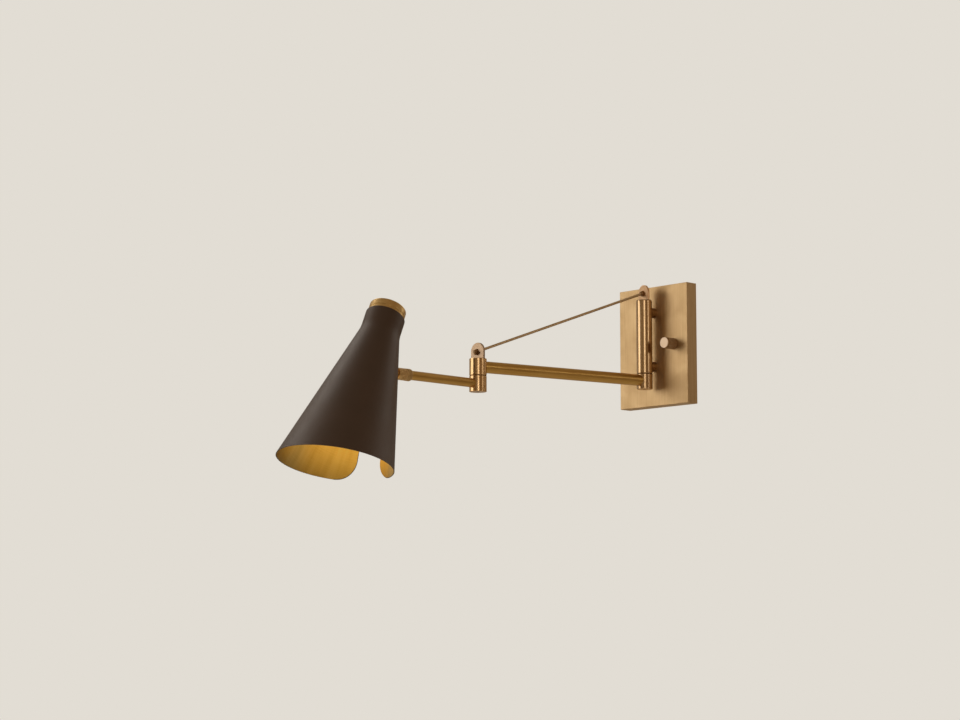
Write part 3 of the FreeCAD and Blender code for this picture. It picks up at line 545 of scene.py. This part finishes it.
def build_shade():
    outer = wall_line(0.0, -168.0, 14)
    inner = wall_line(ST, -168.0, 14)
    top = []
    for k in range(7):
        a = math.pi / 2 * (1 - k / 6)
        top.append((SN - 0.8 + 0.8 * math.cos(a), NECK_TOP - 0.8 + 0.8 * math.sin(a)))
    neck_rows = [(SN, NECK_TOP - 0.8 - (NECK_TOP - 0.8 - outer[0][1]) * k / 5) for k in range(1, 5)]
    outline = [(5.0, NECK_TOP), (14.0, NECK_TOP), (20.0, NECK_TOP)] + top + neck_rows + outer
    outline += list(reversed(inner))
    outline += [(SN - ST, inner[0][1] + (NECK_TOP - FL - 0.6 - inner[0][1]) * k / 4) for k in range(1, 5)]
    outline += [(SN - ST - 0.6, NECK_TOP - FL), (14.0, NECK_TOP - FL), (5.0, NECK_TOP - FL)]
    bm = lathe(outline, 288)
    ob = make_object("shade_spun", bm, Matrix.Identity(4), [MAT_PAINT, MAT_GOLD, MAT_PAINT])
    # cutters, in the shade's own frame
    beta = math.radians(17.5)
    nd = Vector((math.cos(beta), math.sin(beta), 0))
    ct = math.radians(15.21)
    cn = Vector((0, 0, 1)) * math.cos(ct) - nd * math.sin(ct)
    side = nd.cross(cn).normalized()
    cx = cn.cross(side).normalized()
    base = axes_matrix(side, cx, cn, Vector((0, 0, -129.6 * MM)))
    bm = bmesh.new()
    bmesh.ops.create_cube(bm, size=0.4)
    bm.transform(Matrix.Translation((0, 0, -0.2)))
    bm.transform(base)
    me = bpy.data.meshes.new("cutter")
    bm.to_mesh(me)
    bm.free()
    half = bpy.data.objects.new("cutter", me)
    bpy.context.scene.collection.objects.link(half)
    h, fr, fz, nt = 15.5, 27.5, -88.8, 20.0
    fe = math.radians(76.0)
    ye, ze = h + fr * (1 - math.cos(fe)), fz - fr * math.sin(fe)
    ol = []
    for k in range(49):
        a = math.pi * k / 48
        ol.append((-h * math.cos(a), nt + h * math.sin(a)))
    for k in range(33):
        a = fe * k / 32
        ol.append((h + fr * (1 - math.cos(a)), fz - fr * math.sin(a)))
    ol += [(ye + 12, ze - 6), (ye + 12, ze - 50), (-ye - 12, ze - 50), (-ye - 12, ze - 6)]
    for k in range(33):
        a = fe * (1 - k / 32)
        ol.append((-h - fr * (1 - math.cos(a)), fz - fr * math.sin(a)))
    rot = Matrix.Rotation(beta, 4, "Z") @ Matrix.Translation((8 * MM, 0, 0))
    notch = prism(ol, 150, rot)
    boolean_cut(ob, [half, notch])
    me = ob.data
    if not me.materials:
        for x in (MAT_PAINT, MAT_GOLD, MAT_PAINT):
            me.materials.append(x)

    def radius(z, off):
        ca, ta = math.cos(SH), math.tan(SH)
        rn = SN - off
        zb = (SR0 - off / ca - rn) / ta
        rb = BEND_R + off
        t = rb * math.tan(SH / 2)
        if z >= zb + t:
            return rn
        if z <= zb - t * math.cos(SH):
            return SR0 - z * ta - off / ca
        dz = zb + t - z
        return rn + rb - math.sqrt(max(0, rb * rb - dz * dz))

    for p in me.polygons:
        c = p.center / MM
        r = math.hypot(c.x, c.y)
        d_in = abs(r - radius(c.z, ST))
        n = p.normal
        rad = (n.x * c.x + n.y * c.y) / max(r, 1e-6)
        if c.z > NECK_TOP - FL - 0.7 and n.z < -0.5:
            p.material_index = 1
        elif rad < -0.5 and d_in < 0.25:
            p.material_index = 1
        else:
            p.material_index = 0
        p.use_smooth = True
    me.set_sharp_from_angle(angle=math.radians(32))
    me.transform(HEAD_M)
    return ob


shade = build_shade()
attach(shade, "shade_head")
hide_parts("shade")

# cap: turned brass disc with a bead line, screwed down on the nipple
cz, ch, cr = 75.5, 11.8, 21.9
cap_pts = [(20.0, cz), (cr, cz), (cr, cz + 2.9), (cr - 0.7, cz + 3.4), (cr - 0.7, cz + 4.0), (cr, cz + 4.5),
           (cr, cz + ch - 2.0), (cr - 0.35, cz + ch - 1.7), (cr - 0.35, cz + ch - 1.3), (cr, cz + ch - 1.0),
           (cr - 0.2, cz + ch), (3.0, cz + ch), (0, cz + ch - 0.02), (0, cz + 9.0), (4.87, cz + 9.0), (4.87, cz), (9.0, cz),
           (9.0, cz + ch - 2.5), (20.0, cz + ch - 2.5)]
cap_rad = [0, 0.25, 0.2, 0.2, 0.2, 0.2, 0.1, 0.08, 0.08, 0.1, 0.55, 0, 0, 0, 0, 0, 0, 0.8, 0.8]
cap = make_object("cap_turned", lathe(rounded(cap_pts, cap_rad, 5), 192), HEAD_M, [MAT_CAP], 40)
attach(cap, "shade_head")
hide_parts("shade_cap")


# ---------------------------------------------------------------------------
# knob: diamond knurl, plain chamfered end, counterbored back
# ---------------------------------------------------------------------------
def knurl(r_out, r_in, z0, z1, teeth, lead=0.35):
    def f(r, z, a):
        if r < r_in - 0.01:
            return r
        w = min(1.0, max(0.0, (z - z0) / lead)) * min(1.0, max(0.0, (z1 - z) / lead))
        ph = (a * teeth / (2 * math.pi)) % 1.0
        tooth = 1 - abs(2 * ph - 1)            # 0 in the groove, 1 on the crest
        tooth = min(1.0, tooth * 1.6)
        return r - (r_out - r_in) * (1 - tooth) * w
    return f


def diamond(r_out, depth, z0, z1, starts, slant=30.0, lead=0.35):
    """crossed helical grooves between z0 and z1 on the surface of radius r_out"""
    pitch = 2 * math.pi * r_out / starts / math.tan(math.radians(slant))

    def f(r, z, a):
        if r < r_out - 0.01:
            return r
        w = min(1.0, max(0.0, (z - z0) / lead)) * min(1.0, max(0.0, (z1 - z) / lead))
        if w <= 0:
            return r
        g = 0.0
        for sgn in (1, -1):
            ph = (a * starts / (2 * math.pi) + sgn * z / pitch) % 1.0
            g = max(g, max(0.0, 1 - abs(2 * ph - 1) / 0.62))
        return r - depth * g * w
    return f


kl, kr = 17.5, 7.1
side_rows = [(kr, 0.6 + (kl - 1.2) * k / 64) for k in range(65)]
outline = [(3.02, 3.0), (6.3, 3.0), (6.3, 0.0), (kr - 0.5, 0.0), (kr, 0.45)] + side_rows
outline += [(kr - 0.05, kl - 0.5), (kr - 0.5, kl - 0.06), (kr - 0.9, kl), (4.5, kl), (2.2, kl), (0, kl), (0, 15.2), (3.02, 15.2)]
KNOB_M = along_frame((0, -1, 0), Vector((33.8, -18.0, 0)) * MM)
bm = lathe(outline, 12 * 30, diamond(kr, 0.42, 1.4, kl - 2.6, 30))
knob = make_object("knob_knurled", bm, KNOB_M, [MAT_KNOB, MAT_KNOBEND], 35)
for p in knob.data.polygons:
    if p.normal.y < -0.9 and p.center.y < (-18.0 - kl + 0.4) * MM:
        p.material_index = 1
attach(knob, "dimmer_knob")
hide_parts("knob")


# ---------------------------------------------------------------------------
# swivel ring: fine straight knurl between two plain edges
# ---------------------------------------------------------------------------
RING_M = along_frame(U2, FRONT + U2 * 114.0 * MM + Vector((0, 0, FORE_Z)))
rl, rr_ = 6.4, 7.3
ro = [(5.6, 0.0), (rr_ - 0.6, 0.0), (rr_ - 0.15, 0.12), (rr_, 0.5)]
ro += [(rr_, 0.5 + (rl - 1.0) * k / 16) for k in range(1, 17)]
ro += [(rr_ - 0.15, rl - 0.12), (rr_ - 0.6, rl), (4.0, rl), (4.0, 1.1), (5.6, 1.1)]
bm = lathe(ro, 8 * 36, knurl(rr_, rr_ - 0.50, 0.9, rl - 0.9, 36, 0.3))
ringo = make_object("ring_knurled", bm, RING_M, [MAT_RING], 35)
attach(ringo, "forearm")
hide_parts("swivel_ring")

# swivel collar: knurled grip, plain towards the shade
COLLAR_M = along_frame(U2, FRONT + U2 * 120.6 * MM + Vector((0, 0, FORE_Z)))
cl_, cr_ = 14.4, 7.15
co = [(3.01, 0.0), (cr_ - 0.6, 0.0), (cr_ - 0.17, 0.17), (cr_, 0.6)]
co += [(cr_, 0.6 + (cl_ - 1.2) * k / 56) for k in range(1, 57)]
co += [(cr_ - 0.17, cl_ - 0.17), (cr_ - 0.6, cl_), (4.76, cl_), (4.76, 7.4), (0, 7.4), (0, 6.5), (3.01, 6.5)]
bm = lathe(co, 12 * 30, diamond(cr_, 0.40, 1.0, 9.8, 30))
colo = make_object("collar_knurled", bm, COLLAR_M, [MAT_COLLAR], 35)
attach(colo, "swivel")
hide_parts("swivel_collar")

# ---------------------------------------------------------------------------
# floor, light, camera
# ---------------------------------------------------------------------------
bm = bmesh.new()
bmesh.ops.create_grid(bm, x_segments=8, y_segments=8, size=6.0)
me = bpy.data.meshes.new("floor")
bm.to_mesh(me)
bm.free()
floor = bpy.data.objects.new("floor", me)
bpy.context.scene.collection.objects.link(floor)
floor.location = (0, 0, -1.25)
kf = Mat("floor_pale")
fn = kf.noise(kf.coords(None, (0.35, 0.35, 0.35)), 1.0, 3.0, 0.5)
kf.put("Base Color", kf.mix(kf.remap(fn, 0.0, 1.0, 0.3, 0.7), (0.84, 0.815, 0.77), (0.88, 0.855, 0.81)))
kf.put("Roughness", 0.8)
me.materials.append(kf.m)
floor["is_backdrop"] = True

world = bpy.data.worlds.new("studio")
bpy.context.scene.world = world
world.use_nodes = True
wn, wl = world.node_tree.nodes, world.node_tree.links
wn.clear()
wo = wn.new("ShaderNodeOutputWorld")
mx = wn.new("ShaderNodeMixShader")
lp = wn.new("ShaderNodeLightPath")
cam_bg = wn.new("ShaderNodeBackground")
env_bg = wn.new("ShaderNodeBackground")
wl.new(lp.outputs["Is Camera Ray"], mx.inputs[0])
wl.new(env_bg.outputs[0], mx.inputs[1])
wl.new(cam_bg.outputs[0], mx.inputs[2])
wl.new(mx.outputs[0], wo.inputs[0])
cam_bg.inputs[0].default_value = srgb(226, 221, 212) + (1,)
cam_bg.inputs[1].default_value = 1.0
# soft studio: paler towards the key side, darker low down and to the right
wt = wn.new("ShaderNodeTexCoord")
ws = wn.new("ShaderNodeSeparateXYZ")
wl.new(wt.outputs["Generated"], ws.inputs[0])
ra = wn.new("ShaderNodeValToRGB")
ra.color_ramp.elements[0].position = 0.0
ra.color_ramp.elements[0].color = (0.40, 0.36, 0.31, 1)
ra.color_ramp.elements[1].position = 1.0
ra.color_ramp.elements[1].color = (0.22, 0.140, 0.070, 1)
e = ra.color_ramp.elements.new(0.55)
e.color = (0.30, 0.235, 0.165, 1)
mr = wn.new("ShaderNodeMapRange")
mr.inputs["From Min"].default_value = -1
mr.inputs["From Max"].default_value = 1
wl.new(ws.outputs[0], mr.inputs["Value"])
wl.new(mr.outputs[0], ra.inputs[0])
rz = wn.new("ShaderNodeValToRGB")
rz.color_ramp.elements[0].position = 0.30
rz.color_ramp.elements[0].color = (0.55, 0.53, 0.50, 1)
rz.color_ramp.elements[1].position = 0.75
rz.color_ramp.elements[1].color = (1.15, 1.13, 1.08, 1)
mz = wn.new("ShaderNodeMapRange")
mz.inputs["From Min"].default_value = -1
mz.inputs["From Max"].default_value = 1
wl.new(ws.outputs[2], mz.inputs["Value"])
wl.new(mz.outputs[0], rz.inputs[0])
wm = wn.new("ShaderNodeMix")
wm.data_type = "RGBA"
wm.blend_type = "MULTIPLY"
wm.inputs[0].default_value = 1.0
wl.new(ra.outputs[0], wm.inputs[6])
wl.new(rz.outputs[0], wm.inputs[7])
wl.new(wm.outputs[2], env_bg.inputs[0])
env_bg.inputs[1].default_value = 1.0

AIM = Vector((-0.02, -0.25, -0.03))


def area(name, direction, dist, sx, sy, energy, color=(1, 1, 1), aim=AIM):
    d = Vector(direction).normalized()
    li = bpy.data.lights.new(name, "AREA")
    li.shape = "RECTANGLE"
    li.size = sx
    li.size_y = sy
    li.energy = energy
    li.color = color
    ob = bpy.data.objects.new(name, li)
    ob.location = aim + d * dist
    ob.rotation_euler = (-d).to_track_quat("-Z", "Y").to_euler()
    ob.visible_camera = False
    bpy.context.scene.collection.objects.link(ob)
    return ob


def at(az, el):
    """direction to a light: az from the wall's normal towards +X, el above the horizon"""
    z, e = math.radians(az), math.radians(el)
    return (math.sin(z) * math.cos(e), -math.cos(z) * math.cos(e), math.sin(e))


WARM = (1.0, 0.965, 0.92)
area("key", at(-41, 10), 2.2, 1.25, 1.6, 11.0, WARM)
area("strip", at(51, 15), 2.4, 0.72, 1.1, 4.6, WARM)
area("upper_left", at(-86, 46), 2.2, 1.0, 1.0, 6.0, WARM)
area("right_rear", at(111, 12), 2.4, 0.8, 0.4, 1.5, WARM)
area("behind", at(169, 20), 2.2, 1.2, 1.2, 4.0, WARM)
area("low", at(15, -62), 1.9, 1.2, 1.2, 17.0, WARM)

cam_data = bpy.data.cameras.new("camera")
cam = bpy.data.objects.new("camera", cam_data)
bpy.context.scene.collection.objects.link(cam)
CA, CP = math.radians(45.8963), math.radians(7.5836)
fwd = Vector((-math.sin(CA) * math.cos(CP), math.cos(CA) * math.cos(CP), math.sin(CP)))
right = Vector((math.cos(CA), math.sin(CA), 0))
up = right.cross(fwd)
cam.matrix_world = axes_matrix(right, up, -fwd, Vector((2019.05, -2280.25, -419.93)) * MM)
cam_data.sensor_fit = "HORIZONTAL"
cam_data.sensor_width = 36.0
cam_data.lens = 2410.06 / 960.0 * 36.0
cam_data.clip_start = 0.05
cam_data.clip_end = 50
bpy.context.scene.camera = cam
bpy.context.scene.view_settings.view_transform = "Standard"

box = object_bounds()
as_list = lambda b: [[float(x) for x in p] for p in b]
{"cad": as_list(CAD_BOX), "visual": as_list(box)}
